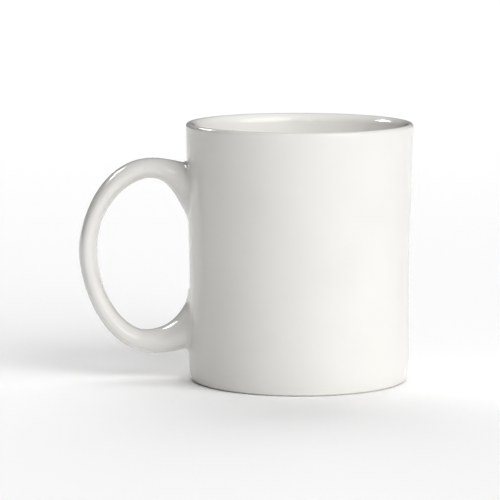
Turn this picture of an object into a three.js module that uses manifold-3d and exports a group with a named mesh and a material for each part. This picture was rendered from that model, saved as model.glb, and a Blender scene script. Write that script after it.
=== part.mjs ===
// A ceramic mug with a loop handle, in millimetres, +Z up, standing on its foot ring at z = 0.
// The clay cup, the cast clay handle and the slip that joins them are separate solids,
// and so are the four areas of glaze that cover them. The handle points along -X.

import * as THREE from 'three';
import { mergeVertices } from 'three/addons/utils/BufferGeometryUtils.js';
import Module from 'manifold-3d';

const wasm = await Module();
wasm.setup();

// ---- Driving dimensions, mm ----

const mugHeight = 93.2;
const rimRadius = 41.0; // outside the glaze, at the widest point of the lip
const bellyRadius = 40.06; // outside, where the wall starts to turn in to the foot
const bellyHeight = 9.8;
const turnInHeight = 3.2; // the wall would meet the foot's slope here, if it turned in sharply
const waistRadius = 39.6; // both controls of the wall's curve, which give a slight waist
const waistLowerControl = 50.9;
const waistUpperControl = 28.8;

const rimWall = 4.4; // wall with its glaze, at the lip
const lipOuterRadius = 1.2; // the lip is tight outside its crest, and wide inside it
const innerBaseRadius = 35.4; // inside the glaze, where the wall meets the floor's corner
const innerCornerRadius = 9.0;
const floorTop = 7.0; // drinking surface of the floor above the table

const footOuterRadius = 38.1;
const footInnerRadius = 34.2;
const footEdge = 0.45; // bevel on both edges of the foot ring
const recessRadius = 32.6; // where the recess's flat middle ends
const recessDepth = 1.6;
const recessSlope = 1.0; // the recess falls away to the ring over this width

const glazeThickness = 0.35;
const skinGap = 0.05; // between a glaze and the clay it lies on
const jointGap = 0.3; // between pieces that are cut to meet
const glazeLine = 0.8; // the outside glaze ends here, so the foot ring stays dry
const glazeLineRadius = 39.15;
const lipSplit = THREE.MathUtils.degToRad(135); // the outside glaze laps this far over the lip
const lipOverlap = THREE.MathUtils.degToRad(8); // spare turn of the lip between the two glazes

const handleReach = 79.77; // from the cup's axis to the back of the handle
const handleWidth = 13.0; // along Y, across the fingers
const rootWidth = 17.0; // the same, where the handle meets the wall
const flareStart = 54.0; // the handle starts to widen towards the wall here
const sectionFlat = 3.0; // flat middle of the handle's oval section, across its width
const sectionRound = 3.0; // how far the oval's rounding reaches in from each outline
const slipThickness = 1.0;
const rootEnd = 34.0; // the handle's outline runs this far in before the wall cuts it

const lathes = 48; // sides of every turned piece
const turnInSteps = 3;
const wallSteps = 5;
const lipSteps = 3; // in each stretch of the lip
const cornerSteps = 4;
const recessSteps = 3;
const handleSteps = 7; // straight pieces in each of the handle's outline curves
const roundSteps = 4;

const lipInnerRadius = rimWall - lipOuterRadius;
const lipCrestRadius = rimRadius - lipOuterRadius; // from the cup's axis
const lipCrest = Math.PI / 2; // turn of the lip at its crest
const clayInset = glazeThickness + skinGap;
const mugLength = handleReach + rimRadius;
const cupAxisX = mugLength / 2 - rimRadius; // centres the whole mug on the origin

// ---- Materials ----

const clay = new THREE.MeshStandardMaterial({ color: 0xe9e4da, roughness: 0.85, metalness: 0 });
const slip = new THREE.MeshStandardMaterial({ color: 0xe2dccf, roughness: 0.9, metalness: 0 });
const glaze = new THREE.MeshStandardMaterial({ color: 0xf3f2ee, roughness: 0.08, metalness: 0 });

// ---- Outlines of the cup, as radius and height ----

// A stretch of the lip between two turns, which both lie on the same side of the crest.
function lipArc(radius, from, to) {
  const centreHeight = mugHeight - radius;
  const arc = new THREE.EllipseCurve(lipCrestRadius, centreHeight, radius, radius, from, to);
  return arc.getPoints(lipSteps);
}

// Outside of the finished mug, from the glaze line up and over the lip to the given turn.
function outsideOutline(lipTurn) {
  const turnIn = new THREE.QuadraticBezierCurve(
    new THREE.Vector2(glazeLineRadius, glazeLine),
    new THREE.Vector2(bellyRadius, turnInHeight),
    new THREE.Vector2(bellyRadius, bellyHeight),
  );
  const wall = new THREE.CubicBezierCurve(
    new THREE.Vector2(bellyRadius, bellyHeight),
    new THREE.Vector2(waistRadius, waistLowerControl),
    new THREE.Vector2(waistRadius, waistUpperControl),
    new THREE.Vector2(rimRadius, mugHeight - lipOuterRadius),
  );
  return joined(
    turnIn.getPoints(turnInSteps),
    wall.getPoints(wallSteps),
    lipArc(lipOuterRadius, 0, lipCrest),
    lipArc(lipInnerRadius, lipCrest, lipTurn),
  );
}

// Inside of the finished mug, from the given turn of the lip down to the middle of the floor.
function insideOutline(lipTurn) {
  const lip = lipArc(lipInnerRadius, lipTurn, Math.PI);
  const corner = new THREE.EllipseCurve(
    innerBaseRadius - innerCornerRadius, floorTop + innerCornerRadius,
    innerCornerRadius, innerCornerRadius, 0, -Math.PI / 2, true,
  );
  const middle = [new THREE.Vector2(0, floorTop)];
  return joined(lip, corner.getPoints(cornerSteps), middle);
}

// Underside of the finished mug inside the foot ring, from the axis out to the dry clay.
function recessOutline() {
  const fall = new THREE.QuadraticBezierCurve(
    new THREE.Vector2(recessRadius - recessSlope, recessDepth),
    new THREE.Vector2(recessRadius, recessDepth),
    new THREE.Vector2(recessRadius + recessSlope / 2, recessDepth / 2),
  );
  return [new THREE.Vector2(0, recessDepth), ...fall.getPoints(recessSteps)];
}

// Outlines end to end, with each point that two of them share kept once.
function joined(...outlines) {
  const points = outlines.flat();
  return points.filter((point, i) => i === 0 || point.distanceTo(points[i - 1]) > 1e-6);
}

// The same outline moved sideways, to the left of its direction, by an even distance.
function inset(outline, distance) {
  return outline.map((point, i) => {
    const before = side(outline[Math.max(i - 1, 0)], outline[Math.max(i, 1)]);
    const last = outline.length - 1;
    const after = side(outline[Math.min(i, last - 1)], outline[Math.min(i + 1, last)]);
    const mitre = before.clone().add(after).normalize();
    const moved = point.clone().addScaledVector(mitre, distance / mitre.dot(after));
    moved.x = point.x === 0 ? 0 : moved.x; // a point on the axis stays on it
    return moved;
  });
}

// Unit vector to the left of the step from one point to the next.
function side(from, to) {
  return new THREE.Vector2(from.y - to.y, to.x - from.x).normalize();
}

// ---- Solids ----

// Turns a closed outline, or one that starts and ends on the axis, about +Z.
function turned(outline) {
  const geometry = new THREE.LatheGeometry(outline, lathes);
  geometry.rotateX(Math.PI / 2);
  return solid(geometry);
}

// A skin under an outline, with its two faces at the given depths.
function turnedSkin(outline, outerDepth, innerDepth) {
  const outer = inset(outline, outerDepth);
  const inner = inset(outline, innerDepth).reverse();
  if (outer[0].x === 0) {
    return turned([...outer, ...inner]);
  }
  if (inner[0].x === 0) {
    return turned([...inner, ...outer]);
  }
  return turned([...outer, ...inner, outer[0].clone()]);
}

// Everything within a depth of the outside wall, for cutting pieces to the wall's shape.
function wallCutter(depth) {
  const wall = inset(outsideOutline(lipCrest), depth);
  const foot = new THREE.Vector2(wall[0].x, 0);
  const top = wall[wall.length - 1];
  return turned([new THREE.Vector2(0, 0), foot, ...wall, new THREE.Vector2(0, top.y)]);
}

// The handle's outline, shrunk by a depth all round and extruded to its oval section.
function handleBar(depth) {
  const straight = sectionFlat;
  const bevel = (handleWidth - straight) / 2 - depth;
  const geometry = new THREE.ExtrudeGeometry(handleShape(), {
    depth: straight,
    steps: 1,
    curveSegments: handleSteps,
    bevelEnabled: true,
    bevelSegments: roundSteps,
    bevelThickness: bevel,
    bevelSize: sectionRound - depth,
    bevelOffset: -sectionRound,
  });
  geometry.translate(0, 0, -straight / 2);
  geometry.rotateX(Math.PI / 2);
  widenTowardsWall(geometry);
  return solid(geometry);
}

// Side view of the handle, as x and z. Both outlines run on into the wall, where they are cut.
function handleShape() {
  const shape = new THREE.Shape();
  shape.moveTo(-rootEnd, 77.1);
  shape.lineTo(-38.0, 77.8);
  shape.bezierCurveTo(-42.0, 78.6, -48.0, 80.24, -53.0, 80.24);
  shape.bezierCurveTo(-71.9, 80.24, -handleReach, 57.5, -handleReach, 46.75);
  shape.bezierCurveTo(-handleReach, 33.55, -71.1, 9.08, -51.55, 9.08);
  shape.bezierCurveTo(-47.05, 9.08, -42.0, 10.75, -38.0, 11.6);
  shape.lineTo(-rootEnd, 12.45);
  shape.lineTo(-rootEnd, 33.5);
  shape.lineTo(-39.6, 32.0);
  shape.bezierCurveTo(-41.6, 25.1, -46.2, 17.52, -56.2, 17.52);
  shape.bezierCurveTo(-62.9, 17.52, -73.04, 29.3, -73.04, 47.7);
  shape.bezierCurveTo(-73.04, 63.2, -60.65, 73.06, -53.7, 73.06);
  shape.bezierCurveTo(-44.7, 73.06, -43.9, 61.2, -38.0, 57.4);
  shape.lineTo(-rootEnd, 54.8);
  return shape;
}

// Spreads the handle's ends along Y, gently at first and most at the wall.
function widenTowardsWall(geometry) {
  const position = geometry.getAttribute('position');
  const flareLength = flareStart - bellyRadius;
  for (let i = 0; i < position.count; i += 1) {
    const along = Math.max(0, flareStart + position.getX(i)) / flareLength;
    const widening = 1 + (rootWidth / handleWidth - 1) * along * along;
    position.setY(i, position.getY(i) * widening);
  }
}

// Geometry to solid and back, for cutting and joining.
function solid(geometry) {
  geometry.deleteAttribute('normal');
  geometry.deleteAttribute('uv');
  const welded = mergeVertices(geometry, 1e-4);
  const vertProperties = new Float32Array(welded.getAttribute('position').array);
  const triVerts = new Uint32Array(welded.getIndex().array);
  return new wasm.Manifold(new wasm.Mesh({ numProp: 3, vertProperties, triVerts }));
}

function meshOf(name, body, material) {
  const { vertProperties, triVerts } = body.getMesh();
  const geometry = new THREE.BufferGeometry();
  geometry.setAttribute('position', new THREE.BufferAttribute(vertProperties, 3));
  geometry.setIndex(new THREE.BufferAttribute(triVerts, 1));
  geometry.computeVertexNormals();
  const mesh = new THREE.Mesh(geometry, material);
  mesh.name = name;
  return mesh;
}

// ---- The pieces ----

// Turned clay body: recess, foot ring, wall, lip and floor in one closed outline.
function cupBody() {
  const underside = inset(recessOutline(), clayInset);
  const foot = [
    new THREE.Vector2(footInnerRadius - footEdge, footEdge),
    new THREE.Vector2(footInnerRadius, 0),
    new THREE.Vector2(footOuterRadius, 0),
    new THREE.Vector2(footOuterRadius + footEdge, footEdge),
  ];
  const outside = inset(outsideOutline(lipCrest), clayInset);
  const inside = inset(insideOutline(lipCrest), clayInset);
  return turned(joined(underside, foot, outside, inside));
}

// Glaze over the outside wall and the lip, open where the handle's two ends pass through it.
function outsideGlaze() {
  const skin = turnedSkin(outsideOutline(lipSplit), 0, glazeThickness);
  return skin.subtract(handleBar(clayInset - jointGap));
}

// Glaze over the drinking surface, from the lip down the wall and over the floor.
function insideGlaze() {
  return turnedSkin(insideOutline(lipSplit + lipOverlap), 0, glazeThickness);
}

// Disc of glaze inside the foot ring.
function recessGlaze() {
  return turnedSkin(recessOutline(), 0, glazeThickness);
}

// Cast clay loop, both ends cut to the wall and clear of the slip.
function clayHandle() {
  const standOff = clayInset - jointGap - slipThickness - jointGap;
  return handleBar(clayInset).subtract(wallCutter(standOff));
}

// Sleeve of glaze round the handle and its slip joints, from wall to wall.
function handleGlaze() {
  const sleeve = handleBar(0).subtract(handleBar(glazeThickness));
  return sleeve.subtract(wallCutter(-jointGap));
}

// Pad of slip between the clay wall and one end of the handle.
function slipJoint(end) {
  const ends = handleBar(clayInset).intersect(wallCutter(clayInset - jointGap - slipThickness));
  const pads = ends.subtract(wallCutter(clayInset - jointGap)).decompose();
  const centreHeight = (pad) => pad.boundingBox().max[2] + pad.boundingBox().min[2];
  pads.sort((a, b) => centreHeight(b) - centreHeight(a));
  return end === 'upper' ? pads[0] : pads[pads.length - 1];
}

const mug = new THREE.Group();
mug.position.x = cupAxisX;
mug.add(
  meshOf('cup_body', cupBody(), clay),
  meshOf('handle', clayHandle(), clay),
  meshOf('upper_slip_joint', slipJoint('upper'), slip),
  meshOf('lower_slip_joint', slipJoint('lower'), slip),
  meshOf('outside_glaze', outsideGlaze(), glaze),
  meshOf('inside_glaze', insideGlaze(), glaze),
  meshOf('handle_glaze', handleGlaze(), glaze),
  meshOf('recess_glaze', recessGlaze(), glaze),
);

const group = new THREE.Group();
group.add(mug);

export default group;
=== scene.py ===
import math

import bpy
import numpy as np
from mathutils import Matrix, Vector
from mathutils.geometry import delaunay_2d_cdt


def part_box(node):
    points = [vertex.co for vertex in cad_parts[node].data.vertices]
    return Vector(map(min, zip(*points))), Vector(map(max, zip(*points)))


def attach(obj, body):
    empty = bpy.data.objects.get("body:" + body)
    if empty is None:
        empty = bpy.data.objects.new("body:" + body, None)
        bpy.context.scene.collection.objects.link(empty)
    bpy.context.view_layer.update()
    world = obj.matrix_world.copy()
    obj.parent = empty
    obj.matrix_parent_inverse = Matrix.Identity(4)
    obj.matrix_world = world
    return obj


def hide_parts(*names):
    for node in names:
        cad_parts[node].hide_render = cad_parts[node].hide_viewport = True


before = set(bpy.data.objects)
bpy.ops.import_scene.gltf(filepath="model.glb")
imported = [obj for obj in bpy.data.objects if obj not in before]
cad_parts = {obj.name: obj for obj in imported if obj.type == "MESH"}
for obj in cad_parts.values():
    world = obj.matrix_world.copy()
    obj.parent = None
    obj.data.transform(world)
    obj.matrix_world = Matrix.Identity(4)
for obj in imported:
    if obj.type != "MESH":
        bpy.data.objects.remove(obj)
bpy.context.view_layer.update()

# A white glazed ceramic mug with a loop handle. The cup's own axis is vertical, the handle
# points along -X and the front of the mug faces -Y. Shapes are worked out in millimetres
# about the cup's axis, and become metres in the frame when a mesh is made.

MM = 0.001

# ---- Sizes taken from the frame, mm ----


def box_mm(node):
    low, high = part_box(node)
    return np.array(low) / MM, np.array(high) / MM


OUT_LOW, OUT_HIGH = box_mm("outside_glaze")
HANDLE_LOW = box_mm("handle_glaze")[0]
AXIS_X = (OUT_LOW[0] + OUT_HIGH[0]) / 2      # the cup's axis, in the frame
RIM_RADIUS = (OUT_HIGH[0] - OUT_LOW[0]) / 2
HEIGHT = OUT_HIGH[2]
REACH = AXIS_X - HANDLE_LOW[0]               # from the axis to the back of the handle

# ---- Sizes of the finished surfaces, mm ----

GLAZE = 0.35                # thickness of the glaze
FIT = 0.02                  # between the glaze and the clay under it
GLAZE_LINE = 0.8            # the outside glaze ends here, above the dry foot ring
GLAZE_LINE_RADIUS = 39.15
BELLY_RADIUS = 40.06
BELLY_HEIGHT = 9.8
TURN_IN_HEIGHT = 3.2
WAIST_RADIUS = 39.6
WAIST_LOWER = 50.9
WAIST_UPPER = 28.8
RIM_WALL = 4.4
LIP_OUTER = 1.2             # the lip is tight outside its crest, and wide inside it
INNER_BASE_RADIUS = 35.4
INNER_CORNER = 9.0
FLOOR_TOP = 7.0
FOOT_OUTER = 38.1
FOOT_INNER = 34.2
FOOT_EDGE = 0.45
RECESS_RADIUS = 32.6
RECESS_DEPTH = 1.6
RECESS_SLOPE = 1.0

HANDLE_WIDTH = 13.0
ROOT_WIDTH = 17.0
FLARE_START = 54.0          # the handle widens from this distance off the axis
OVAL = 2.3                  # power of the handle's oval section: 2 is an ellipse
FILLET = 1.8                # radius between the handle and the wall
SLIP_TOP = 1.0              # the slip stands this far off the wall, inside the handle's ends

# ---- Fineness of the curves and meshes ----

SHARED = 1e-6               # points nearer than this are one point, mm
ON_AXIS = 1e-9              # a radius under this is on the cup's axis, mm
EDGE_POINTS = 60            # points on each short curve of the handle's two edges
LOOP_POINTS = 120           # and on each long one
WALL_POINTS = 400           # points on the wall's curve, before they are spaced evenly
TABLE_TURN_IN = 200         # points in the table of the wall's radius, up to the belly
TABLE_WALL = 1200           # and from there to the lip
CHUNK = 4000                # points measured against an edge at a time
MATCH_POINTS = 800          # places compared to match the handle's two edges
MATCH_REACH = 30            # places either side that smooth the match
LEAST_THICKNESS = 1.0       # keeps the handle's field smooth far outside it, mm
NOT_ZERO = 1e-9             # keeps a power's slope from dividing by zero
TINY = 1e-12                # and other divisions
SLOPE_STEP = 0.02           # half the step of a gradient, mm
LEAST_SLOPE = 0.05          # least squared slope, so that a step onto the surface stays short

TURNS = 180                 # columns round the cup
TURN_STEP = 2 * math.pi / TURNS
AROUND = 64                 # columns round the handle
STATIONS = 150              # rings along the handle
PATH_STEPS = 10             # rings from the handle's last station to the slip
FILLET_STEPS = 12           # rings over the fillet, onto the wall
START_CLEAR = 4.5           # the handle's regular rings stay this far off the wall, mm
WALL_MARGIN = 0.5           # the last ring lies this far past the fillet, on the wall, mm
WALK = 0.25                 # step along a path to the wall, mm
MOST_STEPS = 160            # and the most steps that a path takes
EDGE_ROWS = 6               # rows over the rounded edge of the outside glaze
TURN_IN_ROWS = 14
WALL_ROWS = 60
OUTER_LIP_ROWS = 10
INNER_LIP_ROWS = 18
INSIDE_ROWS = 30
CORNER_ROWS = 19
FLOOR_ROWS = 14
RECESS_ROWS = 9
RECESS_RIM_ROWS = 6
FOOT_EDGE_ROWS = 7
FOOT_ROWS = 5
CAP_SCALES = (0.8, 0.55, 0.3)   # the rings that close a handle's or a slip's end
CLEAR_OF_LOOP = 0.7         # the wall's own points keep this far off a fillet's last ring, mm
SLIP_EDGE = 0.05            # the slip's side stops this far over the wall's glaze's underside, mm


# ---- Curves ----


def bezier(points, count):
    """Points along a Bezier curve of any degree."""
    t = np.linspace(0.0, 1.0, count)[:, None]
    points = np.asarray(points, float)
    degree = len(points) - 1
    out = np.zeros((count, points.shape[1]))
    for i, point in enumerate(points):
        out += math.comb(degree, i) * (1 - t) ** (degree - i) * t ** i * point
    return out


def arc(centre, radius, start, end, count):
    """Points along a circle, with angles in degrees."""
    angle = np.radians(np.linspace(start, end, count))
    return np.stack([centre[0] + radius * np.cos(angle), centre[1] + radius * np.sin(angle)], 1)


def joined(*curves):
    """Curves end to end, without the points that two of them share."""
    points = [np.asarray(curves[0], float)]
    for curve in curves[1:]:
        curve = np.asarray(curve, float)
        shared = np.linalg.norm(curve[0] - points[-1][-1]) < SHARED
        points.append(curve[1:] if shared else curve)
    return np.concatenate(points)


def resample(points, count):
    """The same polyline with evenly spaced points."""
    steps = np.linalg.norm(np.diff(points, axis=0), axis=1)
    along = np.concatenate([[0.0], np.cumsum(steps)])
    wanted = np.linspace(0.0, along[-1], count)
    return np.stack([np.interp(wanted, along, points[:, k]) for k in range(points.shape[1])], 1)


def offset(outline, distance):
    """A radius and height outline moved to its left by an even distance."""
    step = np.diff(outline, axis=0)
    left = np.stack([-step[:, 1], step[:, 0]], 1)
    left /= np.linalg.norm(left, axis=1)[:, None]
    before = np.concatenate([left[:1], left])
    after = np.concatenate([left, left[-1:]])
    mitre = before + after
    mitre /= np.linalg.norm(mitre, axis=1)[:, None]
    moved = outline + mitre * (distance / (mitre * after).sum(1))[:, None]
    moved[outline[:, 0] < ON_AXIS, 0] = 0.0
    return moved


# ---- The cup's outlines, as radius and height ----

LIP_INNER = RIM_WALL - LIP_OUTER
LIP_CREST = RIM_RADIUS - LIP_OUTER


def outer_lip():
    """The lip from the top of the outside wall to its crest."""
    return arc((LIP_CREST, HEIGHT - LIP_OUTER), LIP_OUTER, 0, 90, OUTER_LIP_ROWS)


def inner_lip():
    """The lip from its crest to the top of the inside wall."""
    return arc((LIP_CREST, HEIGHT - LIP_INNER), LIP_INNER, 90, 180, INNER_LIP_ROWS)


def outside_wall(turn_in_points, wall_points):
    """Outside of the finished mug from the glaze line up to the lip."""
    turn_in = bezier([(GLAZE_LINE_RADIUS, GLAZE_LINE), (BELLY_RADIUS, TURN_IN_HEIGHT),
                      (BELLY_RADIUS, BELLY_HEIGHT)], turn_in_points)
    wall = bezier([(BELLY_RADIUS, BELLY_HEIGHT), (WAIST_RADIUS, WAIST_LOWER),
                   (WAIST_RADIUS, WAIST_UPPER), (RIM_RADIUS, HEIGHT - LIP_OUTER)], WALL_POINTS)
    return joined(turn_in, resample(wall, wall_points))


def inside_wall(wall_points, corner_points, floor_points):
    """Inside of the finished mug from the lip down to the middle of the floor."""
    corner_centre = (INNER_BASE_RADIUS - INNER_CORNER, FLOOR_TOP + INNER_CORNER)
    corner = arc(corner_centre, INNER_CORNER, 0, -90, corner_points)
    wall = np.linspace((RIM_RADIUS - RIM_WALL, HEIGHT - LIP_INNER), corner[0], wall_points)
    floor = np.linspace(corner[-1], (0.0, FLOOR_TOP), floor_points)
    return joined(wall, corner, floor)


def recess():
    """Finished underside inside the foot ring, from the axis outwards."""
    flat = np.linspace((0.0, RECESS_DEPTH), (RECESS_RADIUS - RECESS_SLOPE, RECESS_DEPTH),
                       RECESS_ROWS)
    fall = bezier([flat[-1], (RECESS_RADIUS, RECESS_DEPTH),
                   (RECESS_RADIUS + RECESS_SLOPE / 2, RECESS_DEPTH / 2)], RECESS_ROWS)
    return joined(flat, fall)


WALL_TABLE = outside_wall(TABLE_TURN_IN, TABLE_WALL)


def wall_radius(z):
    """Radius of the finished outside wall at a height."""
    return np.interp(z, WALL_TABLE[:, 1], WALL_TABLE[:, 0])


# ---- The handle as a solid field ----
#
# Two outlines in the plane y = 0, as distance from the axis and height, are the handle's
# outer and inner edges. Between them, a point's place across the handle runs from -1 at the
# inner edge to 1 at the outer one, and that place with y gives an oval section.

OUTER_EDGE = joined(
    [(34.0, 77.1), (38.0, 77.8)],
    bezier([(38.0, 77.8), (42.0, 78.6), (48.0, 80.24), (53.0, 80.24)], EDGE_POINTS),
    bezier([(53.0, 80.24), (71.9, 80.24), (REACH, 57.5), (REACH, 46.75)], LOOP_POINTS),
    bezier([(REACH, 46.75), (REACH, 33.55), (71.1, 9.08), (51.55, 9.08)], LOOP_POINTS),
    bezier([(51.55, 9.08), (47.05, 9.08), (42.0, 10.75), (38.0, 11.6)], EDGE_POINTS),
    [(38.0, 11.6), (34.0, 12.45)],
)
INNER_EDGE = joined(
    [(34.0, 54.8), (38.0, 57.4)],
    bezier([(38.0, 57.4), (43.9, 61.2), (44.7, 73.06), (53.7, 73.06)], EDGE_POINTS),
    bezier([(53.7, 73.06), (60.65, 73.06), (73.04, 63.2), (73.04, 47.7)], LOOP_POINTS),
    bezier([(73.04, 47.7), (73.04, 29.3), (62.9, 17.52), (56.2, 17.52)], LOOP_POINTS),
    bezier([(56.2, 17.52), (46.2, 17.52), (41.6, 25.1), (39.6, 32.0)], EDGE_POINTS),
    [(39.6, 32.0), (34.0, 33.5)],
)


def side_distance(points, edge):
    """Signed distance of (reach, height) points from an edge, positive to its right."""
    start = edge[:-1]
    step = np.diff(edge, axis=0)
    length2 = (step * step).sum(1)
    best = np.empty(len(points))
    sign = np.empty(len(points))
    for begin in range(0, len(points), CHUNK):
        chunk = points[begin:begin + CHUNK]
        rel = chunk[:, None, :] - start[None]
        t = np.clip((rel * step).sum(2) / length2, 0.0, 1.0)
        away = rel - t[..., None] * step
        d2 = (away * away).sum(2)
        nearest = d2.argmin(1)
        row = np.arange(len(chunk))
        near_step = step[nearest]
        near_away = away[row, nearest]
        cross = near_step[:, 0] * near_away[:, 1] - near_step[:, 1] * near_away[:, 0]
        best[begin:begin + CHUNK] = np.sqrt(d2[row, nearest])
        sign[begin:begin + CHUNK] = np.where(cross < 0, 1.0, -1.0)
    return best * sign


def half_width(reach):
    """Half the handle's width at a distance from the axis."""
    along = np.maximum(0.0, FLARE_START - reach) / (FLARE_START - BELLY_RADIUS)
    return HANDLE_WIDTH / 2 * (1 + (ROOT_WIDTH / HANDLE_WIDTH - 1) * along ** 2)


def handle_field(points):
    """Distance from the handle's surface, near enough, and negative inside it."""
    side = np.stack([-points[:, 0], points[:, 2]], 1)
    outer = side_distance(side, OUTER_EDGE)
    inner = -side_distance(side, INNER_EDGE)
    thickness = np.maximum(outer + inner, LEAST_THICKNESS)
    across = np.abs((inner - outer) / thickness) + NOT_ZERO
    width = half_width(side[:, 0])
    deep = np.abs(points[:, 1]) / width + NOT_ZERO
    q = (across ** OVAL + deep ** OVAL) ** (1 / OVAL)
    slope_across = across ** (OVAL - 1) * 2 / thickness
    slope_deep = deep ** (OVAL - 1) / width
    slope = q ** (1 - OVAL) * np.hypot(slope_across, slope_deep)
    return (q - 1) / slope


def wall_field(points):
    """Distance outside the cup's wall."""
    return np.hypot(points[:, 0], points[:, 1]) - wall_radius(points[:, 2])


def coat_field(points):
    """The wall and the handle joined by a round fillet."""
    wall = wall_field(points)
    handle = handle_field(points)
    in_wall = np.maximum(FILLET - wall, 0.0)
    in_handle = np.maximum(FILLET - handle, 0.0)
    return np.maximum(FILLET, np.minimum(wall, handle)) - np.hypot(in_wall, in_handle)


def slope_of(field, points):
    """The field's gradient, by central differences."""
    out = np.zeros_like(points)
    for k in range(3):
        shift = np.zeros(3)
        shift[k] = SLOPE_STEP
        out[:, k] = (field(points + shift) - field(points - shift)) / (2 * SLOPE_STEP)
    return out


def onto_surface(points, rounds=3):
    """Points moved onto the coat's surface."""
    for _ in range(rounds):
        slope = slope_of(coat_field, points)
        steep = np.maximum((slope * slope).sum(1), LEAST_SLOPE)
        points = points - slope * (coat_field(points) / steep)[:, None]
    return points


def stations():
    """Matching points on the two edges where the handle is clear of the wall."""
    place = np.linspace(0, 1, MATCH_POINTS)
    outer = resample(OUTER_EDGE, MATCH_POINTS)
    inner = resample(INNER_EDGE, MATCH_POINTS)
    gap = np.linalg.norm(outer[:, None] - inner[None], axis=2)
    from_outer = place[gap.argmin(1)]
    from_inner = np.interp(place, np.maximum.accumulate(place[gap.argmin(0)]), place)
    match = smoothed((from_outer + from_inner) / 2, MATCH_REACH)
    partner = np.stack([np.interp(match, place, inner[:, k]) for k in (0, 1)], 1)
    clear = np.minimum(outer[:, 0], partner[:, 0]) > BELLY_RADIUS + START_CLEAR
    first, last = np.flatnonzero(clear)[[0, -1]]
    middle = (outer + partner)[first:last + 1] / 2
    steps = np.linalg.norm(np.diff(middle, axis=0), axis=1)
    along = np.concatenate([[0.0], np.cumsum(steps)])
    wanted = np.linspace(0.0, along[-1], STATIONS)
    pair = np.concatenate([outer, partner], 1)[first:last + 1]
    pair = np.stack([np.interp(wanted, along, pair[:, k]) for k in range(4)], 1)
    return pair[:, :2], pair[:, 2:]


def smoothed(values, reach):
    """A rolling average that keeps the values at both ends."""
    window = np.hanning(2 * reach + 1)
    before = 2 * values[0] - values[reach:0:-1]
    after = 2 * values[-1] - values[-2:-reach - 2:-1]
    return np.convolve(np.concatenate([before, values, after]), window / window.sum(), "valid")


def handle_rings():
    """Rings of points round the handle, from its upper end to its lower one."""
    outer, inner = stations()
    middle = (outer + inner) / 2
    half = (outer - inner) / 2
    angle = np.linspace(0, 2 * math.pi, AROUND, endpoint=False)
    across = np.sign(np.cos(angle)) * np.abs(np.cos(angle)) ** (2 / OVAL)
    deep = np.sign(np.sin(angle)) * np.abs(np.sin(angle)) ** (2 / OVAL)
    side = middle[:, None] + half[:, None] * across[None, :, None]
    rings = np.empty((STATIONS, AROUND, 3))
    rings[..., 0] = -side[..., 0]
    rings[..., 1] = half_width(middle[:, 0])[:, None] * deep
    rings[..., 2] = side[..., 1]
    return onto_surface(rings.reshape(-1, 3)).reshape(rings.shape)


def run_to_wall(ring, before):
    """Paths over the coat from a ring near the wall, past the slip, out onto the wall."""
    heading = unit(ring - before)
    paths = [ring]
    while len(paths) < MOST_STEPS:
        ahead = onto_surface(paths[-1] + heading * WALK, 2)
        heading = unit(ahead - paths[-1])
        paths.append(ahead)
        if handle_field(ahead).min() > FILLET + WALL_MARGIN:
            break
    paths = np.stack(paths)
    rings = np.empty((PATH_STEPS + FILLET_STEPS, AROUND, 3))
    for column in range(AROUND):
        path = paths[:, column]
        slip = crossing(wall_field(path) < SLIP_TOP)
        end = crossing(handle_field(path) > FILLET + WALL_MARGIN)
        rings[:PATH_STEPS, column] = resample(path[:slip + 1], PATH_STEPS + 1)[1:]
        rings[PATH_STEPS:, column] = resample(path[slip:end + 1], FILLET_STEPS + 1)[1:]
    return onto_surface(rings.reshape(-1, 3)).reshape(rings.shape)


def crossing(reached):
    """First place on a path where a test holds."""
    return int(np.argmax(reached)) if reached.any() else len(reached) - 1


def unit(vectors):
    return vectors / np.maximum(np.linalg.norm(vectors, axis=-1, keepdims=True), TINY)


# ---- Meshes ----


class Skin:
    """Points and faces of a surface, gathered piece by piece."""

    def __init__(self):
        self.points = []
        self.faces = []
        self.count = 0

    def add(self, points):
        """Adds points of any grid shape and returns their numbers in the same shape."""
        points = np.asarray(points, float)
        numbers = np.arange(self.count, self.count + points[..., 0].size)
        self.points.append(points.reshape(-1, 3))
        self.count += len(numbers)
        return numbers.reshape(points.shape[:-1])

    def band(self, rows, flip=False, skip=None):
        """Quads between closed rows of point numbers, but for the cells that skip marks."""
        columns = rows.shape[1]
        for i in range(len(rows) - 1):
            for j in range(columns):
                if skip is not None and skip[i, j]:
                    continue
                k = (j + 1) % columns
                quad = [rows[i, j], rows[i, k], rows[i + 1, k], rows[i + 1, j]]
                self.faces.append(quad[::-1] if flip else quad)

    def fan(self, ring, centre, flip=False):
        """Triangles from a ring to one point."""
        for j in range(len(ring)):
            triangle = [ring[j], ring[(j + 1) % len(ring)], centre]
            self.faces.append(triangle[::-1] if flip else triangle)

    def all_points(self):
        return np.concatenate(self.points)

    def normals(self):
        """Unit normals of the points, averaged over the faces by area."""
        points = self.all_points()
        out = np.zeros_like(points)
        for size in (3, 4):
            faces = np.array([face for face in self.faces if len(face) == size])
            corner = points[faces]
            if size == 3:
                normal = np.cross(corner[:, 1] - corner[:, 0], corner[:, 2] - corner[:, 0])
            else:
                normal = np.cross(corner[:, 2] - corner[:, 0], corner[:, 3] - corner[:, 1])
            for k in range(size):
                np.add.at(out, faces[:, k], normal)
        return unit(out)

    def make(self, name):
        """The mesh object, in metres in the frame, smooth shaded."""
        used = np.unique(np.concatenate([np.asarray(face) for face in self.faces]))
        place = np.full(self.count, -1)
        place[used] = np.arange(len(used))
        points = self.all_points()[used] + [AXIS_X, 0, 0]
        faces = [[int(place[i]) for i in face] for face in self.faces]
        mesh = bpy.data.meshes.new(name)
        mesh.from_pydata((points * MM).tolist(), [], faces)
        mesh.shade_smooth()
        piece = bpy.data.objects.new(name, mesh)
        bpy.context.scene.collection.objects.link(piece)
        return piece


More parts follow.
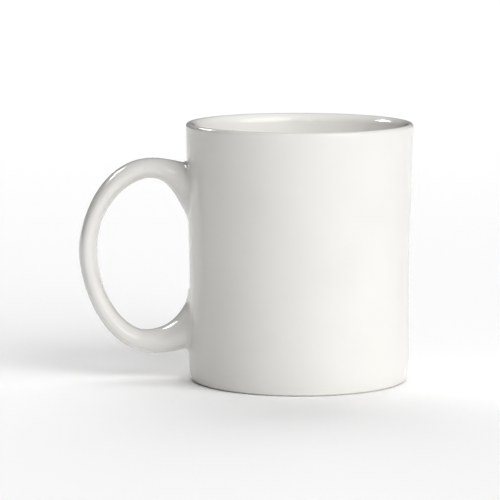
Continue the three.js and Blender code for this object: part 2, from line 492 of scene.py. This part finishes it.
def turned_points(outline):
    """Points of an outline turned about the cup's axis, with a column of points at -X."""
    angle = np.linspace(0, 2 * math.pi, TURNS, endpoint=False)
    grid = np.empty((len(outline), TURNS, 3))
    grid[..., 0] = -outline[:, :1] * np.cos(angle)
    grid[..., 1] = -outline[:, :1] * np.sin(angle)
    grid[..., 2] = outline[:, 1:]
    return grid


def turned(name, outline):
    """A closed piece turned about the cup's axis. The outline starts and ends on the axis, and
    runs anticlockwise."""
    skin = Skin()
    rows = skin.add(turned_points(outline[1:-1]))
    skin.band(rows)
    skin.fan(rows[0], skin.add(np.array([[0, 0, outline[0, 1]]]))[0], flip=True)
    skin.fan(rows[-1], skin.add(np.array([[0, 0, outline[-1, 1]]]))[0])
    return skin.make(name)


# ---- The glaze over the cup and the handle, in one coat ----


def coat_outline():
    """Outside, lip and inside of the finished cup, and how many of its rows are outside wall."""
    wall = outside_wall(TURN_IN_ROWS, WALL_ROWS)
    edge_angle = np.radians(np.linspace(0, 90, EDGE_ROWS))
    edge = np.stack([wall[0, 0] - GLAZE * (1 - np.sin(edge_angle)),
                     wall[0, 1] - GLAZE * np.cos(edge_angle)], 1)
    inside_face = inside_wall(INSIDE_ROWS, CORNER_ROWS, FLOOR_ROWS)
    outline = joined(edge, wall, outer_lip(), inner_lip(), inside_face)
    depth = np.full(len(outline), GLAZE)
    depth[:EDGE_ROWS] = np.maximum(GLAZE * np.sin(edge_angle), FIT)
    return outline, depth, EDGE_ROWS + len(wall) - 1


def window_of(loop, outline, wall_rows):
    """Cells of the turned grid that a loop of points on the wall covers, with a margin."""
    turn = np.arctan2(-loop[:, 1], -loop[:, 0]) / TURN_STEP
    first_column = int(math.floor(turn.min())) - 1
    last_column = int(math.ceil(turn.max())) + 1
    heights = outline[:wall_rows, 1]
    first_row = int(np.searchsorted(heights, loop[:, 2].min())) - 2
    last_row = int(np.searchsorted(heights, loop[:, 2].max())) + 1
    return first_row, last_row, first_column, last_column


def kept_points(flat, hole, height, width):
    """Which of a window's points are on its border, or else clear of the hole."""
    kept = []
    for k, point in enumerate(flat):
        row, column = divmod(k, width)
        on_border = row in (0, height - 1) or column in (0, width - 1)
        apart = np.linalg.norm(hole - point, axis=1).min()
        if on_border or (apart > CLEAR_OF_LOOP and not inside(hole, point)):
            kept.append(k)
    return kept


def border_cells(height, width):
    """Rows and columns round the edge of a window, in order."""
    cells = [(0, j) for j in range(width)] + [(i, width - 1) for i in range(1, height)]
    cells += [(height - 1, j) for j in range(width - 2, -1, -1)]
    cells += [(i, 0) for i in range(height - 2, 0, -1)]
    return cells


def ring_edges(numbers):
    """Edges that join numbers in a closed ring."""
    return [(numbers[i], numbers[(i + 1) % len(numbers)]) for i in range(len(numbers))]


def patch_wall(skin, rows, window, loop, loop_numbers, outline):
    """Triangles between a window in the turned grid and the loop where a fillet ends."""
    first_row, last_row, first_column, last_column = window
    height = last_row - first_row + 1
    width = last_column - first_column + 1
    cells = [(first_row + i, first_column + j) for i in range(height) for j in range(width)]
    flat = np.array([(c * TURN_STEP * BELLY_RADIUS, outline[r, 1]) for r, c in cells])
    turn = np.arctan2(-loop[:, 1], -loop[:, 0])
    hole = np.stack([turn * BELLY_RADIUS, loop[:, 2]], 1)
    kept = kept_points(flat, hole, height, width)
    kept_cells = [cells[k] for k in kept]
    numbers = np.concatenate([[rows[r, c % TURNS] for r, c in kept_cells], loop_numbers])
    slot = {k: i for i, k in enumerate(kept)}
    edges = ring_edges([slot[i * width + j] for i, j in border_cells(height, width)])
    edges += ring_edges(range(len(kept), len(kept) + len(hole)))
    points = [Vector(point) for point in np.concatenate([flat[kept], hole])]
    places, _, triangles, origin = delaunay_2d_cdt(points, edges, [], 0, SHARED, True)[:4]
    for triangle in triangles:
        centre = np.mean([places[corner] for corner in triangle], axis=0)
        if not inside(hole, centre):
            skin.faces.append([numbers[origin[corner][0]] for corner in triangle])


def inside(loop, point):
    """Whether a flat point lies inside a flat loop."""
    ahead = np.roll(loop, -1, axis=0)
    spans = (loop[:, 1] > point[1]) != (ahead[:, 1] > point[1])
    rise = np.where(ahead[:, 1] == loop[:, 1], TINY, ahead[:, 1] - loop[:, 1])
    meets = loop[:, 0] + (point[1] - loop[:, 1]) / rise * (ahead[:, 0] - loop[:, 0])
    return bool(np.count_nonzero(spans & (point[0] < meets)) % 2)


def outer_coat(outline, wall_rows, rings, upper, lower):
    """The coat's outer face, and its cup's rows of point numbers."""
    skin = Skin()
    rows = skin.add(turned_points(outline[:-1]))
    ring_numbers = skin.add(rings)
    upper_numbers = skin.add(upper)
    lower_numbers = skin.add(lower)
    skip = np.zeros((len(rows) - 1, TURNS), bool)
    for paths, numbers in ((upper, upper_numbers), (lower, lower_numbers)):
        window = window_of(paths[-1], outline, wall_rows)
        first_row, last_row, first_column, last_column = window
        for column in range(first_column, last_column):
            skip[first_row:last_row, column % TURNS] = True
        patch_wall(skin, rows, window, paths[-1], numbers[-1], outline)
    skin.band(rows, skip=skip)
    skin.fan(rows[-1], skin.add(np.array([[0, 0, outline[-1, 1]]]))[0])
    skin.band(np.concatenate([upper_numbers[::-1], ring_numbers, lower_numbers]))
    return skin, rows


def glaze_coat(rings, upper, lower):
    """One closed skin of glaze over everything but the foot: its outer face and its inner one."""
    outline, depth, wall_rows = coat_outline()
    skin, rows = outer_coat(outline, wall_rows, rings, upper, lower)
    points = skin.all_points()
    normals = skin.normals()
    thickness = np.full(len(points), GLAZE)
    thickness[rows] = depth[:-1, None]
    under = skin.add(points - normals * thickness[:, None])
    skin.faces += [[under[i] for i in face[::-1]] for face in list(skin.faces)]
    skin.band(np.stack([under[rows[0]], rows[0]]))
    return skin.make("glaze_coat")


def clay_cup():
    """The cup's clay body: recess, dry foot ring, wall, lip and floor."""
    inset = GLAZE + FIT
    under = offset(recess(), inset)
    inner_edge = bezier([under[-1], (FOOT_INNER - FOOT_EDGE, FOOT_EDGE), (FOOT_INNER, 0)],
                        FOOT_EDGE_ROWS)
    wall = offset(joined(outside_wall(TURN_IN_ROWS, WALL_ROWS), outer_lip()), inset)
    outer_edge = bezier([(FOOT_OUTER, 0), (FOOT_OUTER + FOOT_EDGE, 0), wall[0]], FOOT_EDGE_ROWS)
    inside_face = offset(joined(inner_lip(), inside_wall(INSIDE_ROWS, CORNER_ROWS, FLOOR_ROWS)),
                         inset)
    foot = np.linspace((FOOT_INNER, 0), (FOOT_OUTER, 0), FOOT_ROWS)
    return turned("clay_cup", joined(under, inner_edge, foot, outer_edge, wall, inside_face))


def recess_glaze():
    """The disc of glaze inside the foot ring, with a thin rounded edge."""
    face = recess()
    back = offset(face, GLAZE)
    middle = (face[-1] + back[-1]) / 2
    rim = bezier([face[-1], middle + (face[-1] - face[-2]) * 2, back[-1]], RECESS_RIM_ROWS)
    return turned("foot_glaze", joined(face, rim, back[::-1]))


def under_glaze(paths):
    """Ring points moved in under the glaze, to the clay's surface."""
    shape = paths.shape
    flat = paths.reshape(-1, 3)
    return (flat - unit(slope_of(coat_field, flat)) * (GLAZE + FIT)).reshape(shape)


def end_cap(skin, ring, ring_numbers, stand_off, flip):
    """Closes a ring near the wall with a face at an even distance off the wall."""
    turn = np.arctan2(-ring[:, 1], -ring[:, 0])
    flat = np.stack([turn, ring[:, 2]], 1)
    centre = flat.mean(0)
    shrunk = [centre + (flat - centre) * scale for scale in CAP_SCALES]
    radii = [wall_radius(loop[:, 1]) + stand_off for loop in shrunk]
    grids = np.stack([np.stack([-r * np.cos(loop[:, 0]), -r * np.sin(loop[:, 0]), loop[:, 1]], 1)
                      for r, loop in zip(radii, shrunk)])
    numbers = np.concatenate([ring_numbers[None], skin.add(grids)])
    skin.band(numbers, flip=flip)
    radius = wall_radius(centre[1]) + stand_off
    tip = [[-radius * math.cos(centre[0]), -radius * math.sin(centre[0]), centre[1]]]
    skin.fan(numbers[-1], skin.add(np.array(tip))[0], flip=flip)


def clay_handle(rings, upper, lower):
    """The cast clay loop, under its glaze, from one slip joint to the other."""
    line = under_glaze(np.concatenate([upper[:PATH_STEPS][::-1], rings, lower[:PATH_STEPS]]))
    skin = Skin()
    numbers = skin.add(line)
    skin.band(numbers)
    end_cap(skin, line[0], numbers[0], SLIP_TOP, flip=True)
    end_cap(skin, line[-1], numbers[-1], SLIP_TOP, flip=False)
    return skin.make("clay_handle")


def slip_joint(name, paths, flip):
    """The slip between the wall and one end of the handle, with its fillet all round."""
    side = under_glaze(paths[PATH_STEPS - 1:])
    clear = wall_field(side.reshape(-1, 3)).reshape(side.shape[:2]).min(1)
    side = side[clear > SLIP_EDGE - GLAZE]
    skin = Skin()
    numbers = skin.add(side)
    skin.band(numbers, flip=flip)
    end_cap(skin, side[0], numbers[0], SLIP_TOP - FIT, flip=not flip)
    end_cap(skin, side[-1], numbers[-1], FIT - GLAZE, flip=flip)
    return skin.make(name)


# ---- Materials ----

WAVE_HEIGHT = 0.00003       # heights of the bumps, in metres
PIT_HEIGHT = 0.0000015
GRAIN_HEIGHT = 0.00004
DRAG_HEIGHT = 0.00008


class Nodes:
    """A short way to write a material's nodes."""

    def __init__(self, name):
        self.material = bpy.data.materials.new(name)
        self.material.use_nodes = True
        self.tree = self.material.node_tree
        self.shader = self.tree.nodes["Principled BSDF"]

    def add(self, kind, **values):
        node = self.tree.nodes.new(kind)
        for key, value in values.items():
            node.inputs[key].default_value = value
        return node

    def join(self, output, target):
        self.tree.links.new(output, target)

    def noise(self, scale, detail, rough=0.5):
        """Noise over the object's own place, in metres, so it doesn't slide."""
        where = self.add("ShaderNodeTexCoord")
        noise = self.add("ShaderNodeTexNoise", Scale=scale, Detail=detail, Roughness=rough)
        self.join(where.outputs["Object"], noise.inputs["Vector"])
        return noise.outputs["Fac"]

    def ramp(self, source, stops):
        """A colour ramp between two stops, each a position with a grey level or a colour."""
        ramp = self.add("ShaderNodeValToRGB")
        for mark, (position, colour) in zip(ramp.color_ramp.elements, stops):
            mark.position = position
            mark.color = (*colour, 1) if isinstance(colour, tuple) else (colour, colour, colour, 1)
        self.join(source, ramp.inputs["Fac"])
        return ramp.outputs["Color"]

    def bump(self, source, distance, under=None):
        """A bump of a height in metres, over another bump where one is given."""
        bump = self.add("ShaderNodeBump", Strength=1.0, Distance=distance)
        self.join(source, bump.inputs["Height"])
        if under is not None:
            self.join(under, bump.inputs["Normal"])
        return bump.outputs["Normal"]


def white_glaze():
    """Glossy white glaze: a very slight waviness, faint thick and thin places, tiny pits."""
    nodes = Nodes("white_glaze")
    tint = nodes.ramp(nodes.noise(38.0, 3.0), [(0.35, (0.746, 0.736, 0.705)),
                                               (0.65, (0.768, 0.758, 0.728))])
    nodes.join(tint, nodes.shader.inputs["Base Color"])
    gloss = nodes.ramp(nodes.noise(120.0, 3.0), [(0.3, 0.015), (0.7, 0.03)])
    nodes.join(gloss, nodes.shader.inputs["Roughness"])
    wave = nodes.bump(nodes.noise(60.0, 1.0), WAVE_HEIGHT)
    skin = nodes.bump(nodes.noise(900.0, 2.0), PIT_HEIGHT, under=wave)
    nodes.join(skin, nodes.shader.inputs["Normal"])
    nodes.shader.inputs["IOR"].default_value = 1.5
    return nodes.material


def fired_clay():
    """Bare fired clay: matt, finely grained, with darker specks."""
    nodes = Nodes("fired_clay")
    grain = nodes.ramp(nodes.noise(700.0, 6.0, 0.7), [(0.35, (0.60, 0.56, 0.49)),
                                                      (0.62, (0.76, 0.72, 0.65))])
    nodes.join(grain, nodes.shader.inputs["Base Color"])
    rough = nodes.ramp(nodes.noise(400.0, 4.0), [(0.3, 0.78), (0.7, 0.95)])
    nodes.join(rough, nodes.shader.inputs["Roughness"])
    skin = nodes.bump(nodes.noise(1800.0, 5.0, 0.7), GRAIN_HEIGHT)
    nodes.join(skin, nodes.shader.inputs["Normal"])
    return nodes.material


def joining_slip():
    """Fired slip: the clay's colour, a little darker, wiped smooth with faint drag marks."""
    nodes = Nodes("joining_slip")
    tone = nodes.ramp(nodes.noise(300.0, 4.0), [(0.3, (0.54, 0.49, 0.42)),
                                                (0.7, (0.66, 0.61, 0.53))])
    nodes.join(tone, nodes.shader.inputs["Base Color"])
    rough = nodes.ramp(nodes.noise(250.0, 3.0), [(0.3, 0.8), (0.7, 0.92)])
    nodes.join(rough, nodes.shader.inputs["Roughness"])
    skin = nodes.bump(nodes.noise(500.0, 3.0), DRAG_HEIGHT)
    nodes.join(skin, nodes.shader.inputs["Normal"])
    return nodes.material


def studio_floor():
    """Plain pale table top."""
    nodes = Nodes("studio_floor")
    tone = nodes.ramp(nodes.noise(1.2, 2.0), [(0.3, 0.97), (0.7, 0.98)])
    nodes.join(tone, nodes.shader.inputs["Base Color"])
    nodes.shader.inputs["Roughness"].default_value = 0.6
    nodes.shader.inputs["Specular IOR Level"].default_value = 0.2
    return nodes.material


# ---- The pieces ----


def place(piece, slot, material, *stands_for):
    """Gives a piece its look, hangs it under the root, and hides the nodes of the frame that it
    stands for.
    """
    piece.data.materials.append(material)
    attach(piece, "root")
    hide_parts(*stands_for)


GLAZE_LOOK = white_glaze()
CLAY_LOOK = fired_clay()
SLIP_LOOK = joining_slip()

rings = handle_rings()
upper = run_to_wall(rings[0], rings[1])
lower = run_to_wall(rings[-1], rings[-2])
place(glaze_coat(rings, upper, lower), "white_glaze", GLAZE_LOOK,
      "outside_glaze", "inside_glaze", "handle_glaze")
place(recess_glaze(), "white_glaze", GLAZE_LOOK, "recess_glaze")
place(clay_cup(), "fired_clay", CLAY_LOOK, "cup_body")
place(clay_handle(rings, upper, lower), "fired_clay", CLAY_LOOK, "handle")
place(slip_joint("upper_slip", upper, flip=True), "joining_slip", SLIP_LOOK, "upper_slip_joint")
place(slip_joint("lower_slip", lower, flip=False), "joining_slip", SLIP_LOOK, "lower_slip_joint")


# ---- Camera, floor and lights, in metres ----

CAMERA_BACK = 1.134         # from the cup's axis
CAMERA_HEIGHT = 0.1963
CAMERA_TURN = -0.0157       # radians, to the left
CAMERA_TILT = 0.131         # radians, down
CAMERA_ROLL = 0.0013
SENSOR = 36.0               # mm
LENS = 227.6                # mm
NEAR = 0.05
FAR = 50.0
FLOOR_HALF = 12.0
MIDDLE = Vector((AXIS_X * MM, 0, HEIGHT * MM / 2))
BEHIND = Vector((0, 1.9, 0))    # the floor behind the mug
LIGHT_BACK = 1.0            # from the target to a light, where nothing else is said
REFLECTOR_BACK = 1.6
BEAM_BACK = 1.5
BEAM_TILT = 28              # degrees: the beams pass well over the near lip
BEAM_DEPTH = 12.0           # a beam meets the inside wall this far under the lip's crest, mm
BEAM_LAMP = 0.004           # radius of a beam's lamp


def camera():
    data = bpy.data.cameras.new("camera")
    data.sensor_width = SENSOR
    data.lens = LENS
    data.clip_start = NEAR
    data.clip_end = FAR
    obj = bpy.data.objects.new("camera", data)
    bpy.context.scene.collection.objects.link(obj)
    cup_x = AXIS_X * MM
    obj.matrix_world = (Matrix.Translation((cup_x, -CAMERA_BACK, CAMERA_HEIGHT))
                        @ Matrix.Rotation(-CAMERA_TURN, 4, "Z")
                        @ Matrix.Rotation(math.pi / 2 - CAMERA_TILT, 4, "X")
                        @ Matrix.Rotation(CAMERA_ROLL, 4, "Z"))
    bpy.context.scene.camera = obj


def floor():
    half = FLOOR_HALF
    mesh = bpy.data.meshes.new("floor")
    mesh.from_pydata([(-half, -half, 0), (half, -half, 0), (half, half, 0), (-half, half, 0)],
                     [], [(0, 1, 2, 3)])
    obj = bpy.data.objects.new("floor", mesh)
    mesh.materials.append(studio_floor())
    bpy.context.scene.collection.objects.link(obj)


def aimed(name, data, target, turn, tilt, distance=LIGHT_BACK):
    """A light that shines at a target from a turn off the front and a tilt up, in degrees."""
    obj = bpy.data.objects.new(name, data)
    bpy.context.scene.collection.objects.link(obj)
    turn = math.radians(turn)
    tilt = math.radians(tilt)
    aim = Vector((math.sin(turn) * math.cos(tilt), -math.cos(turn) * math.cos(tilt), math.sin(tilt)))
    obj.location = target + aim * distance
    obj.rotation_euler = aim.to_track_quat("Z", "Y").to_euler()
    return obj


def soft_light(name, turn, tilt, spread, power):
    """A very large light far off, which lights the whole floor evenly."""
    data = bpy.data.lights.new(name, "SUN")
    data.angle = math.radians(spread)
    data.energy = power
    return aimed(name, data, MIDDLE, turn, tilt)


def panel(name, width, height, power):
    """The lamp of a flat bright panel."""
    data = bpy.data.lights.new(name, "AREA")
    data.shape = "RECTANGLE"
    data.size = width
    data.size_y = height
    data.energy = power
    return data


def reflector(name, turn, tilt, width, height, power):
    """A bright panel that only shows as a reflection in the glaze."""
    obj = aimed(name, panel(name, width, height, power), MIDDLE, turn, tilt, REFLECTOR_BACK)
    obj.visible_diffuse = False
    obj.visible_camera = False


def background_light(width, height, power):
    """A panel over the floor behind the mug, to whiten the background."""
    data = panel("background", width, height, power)
    aimed("background", data, BEHIND, turn=0, tilt=90).visible_glossy = False


def inside_light(name, turn, around, radius, power):
    """A beam over the near lip onto the inside of the far wall. The angle around the cup to
    where it lands is counted from the back, towards +X."""
    data = bpy.data.lights.new(name, "SPOT")
    data.energy = power
    data.spot_size = 2 * math.atan(radius * MM / BEAM_BACK)
    data.spot_blend = 1.0
    data.shadow_soft_size = BEAM_LAMP
    around = math.radians(around)
    wall = RIM_RADIUS - RIM_WALL
    target = Vector((AXIS_X + wall * math.sin(around), wall * math.cos(around), HEIGHT - BEAM_DEPTH))
    aimed(name, data, target * MM, turn, BEAM_TILT, BEAM_BACK).visible_glossy = False


def dark_world():
    """A black world, so that there is no light but the lamps."""
    studio = bpy.data.worlds.new("studio")
    studio.use_nodes = True
    studio.node_tree.nodes["Background"].inputs["Strength"].default_value = 0.0
    bpy.context.scene.world = studio


camera()
floor()
dark_world()
soft_light("overhead", turn=0, tilt=60, spread=60, power=0.7)
soft_light("key", turn=45, tilt=30, spread=60, power=2.5)
soft_light("back", turn=180, tilt=40, spread=60, power=1.8).visible_glossy = False
background_light(width=4.0, height=2.6, power=8.5)
inside_light("inside_left", turn=0, around=-6, radius=32.0, power=15)
inside_light("inside_right", turn=-30, around=45, radius=26.0, power=22)
reflector("window", turn=-131, tilt=35, width=0.7, height=0.34, power=8.6)
reflector("front_panel", turn=-13, tilt=22, width=0.14, height=0.34, power=1.3)

bpy.context.scene.view_settings.view_transform = "Standard"
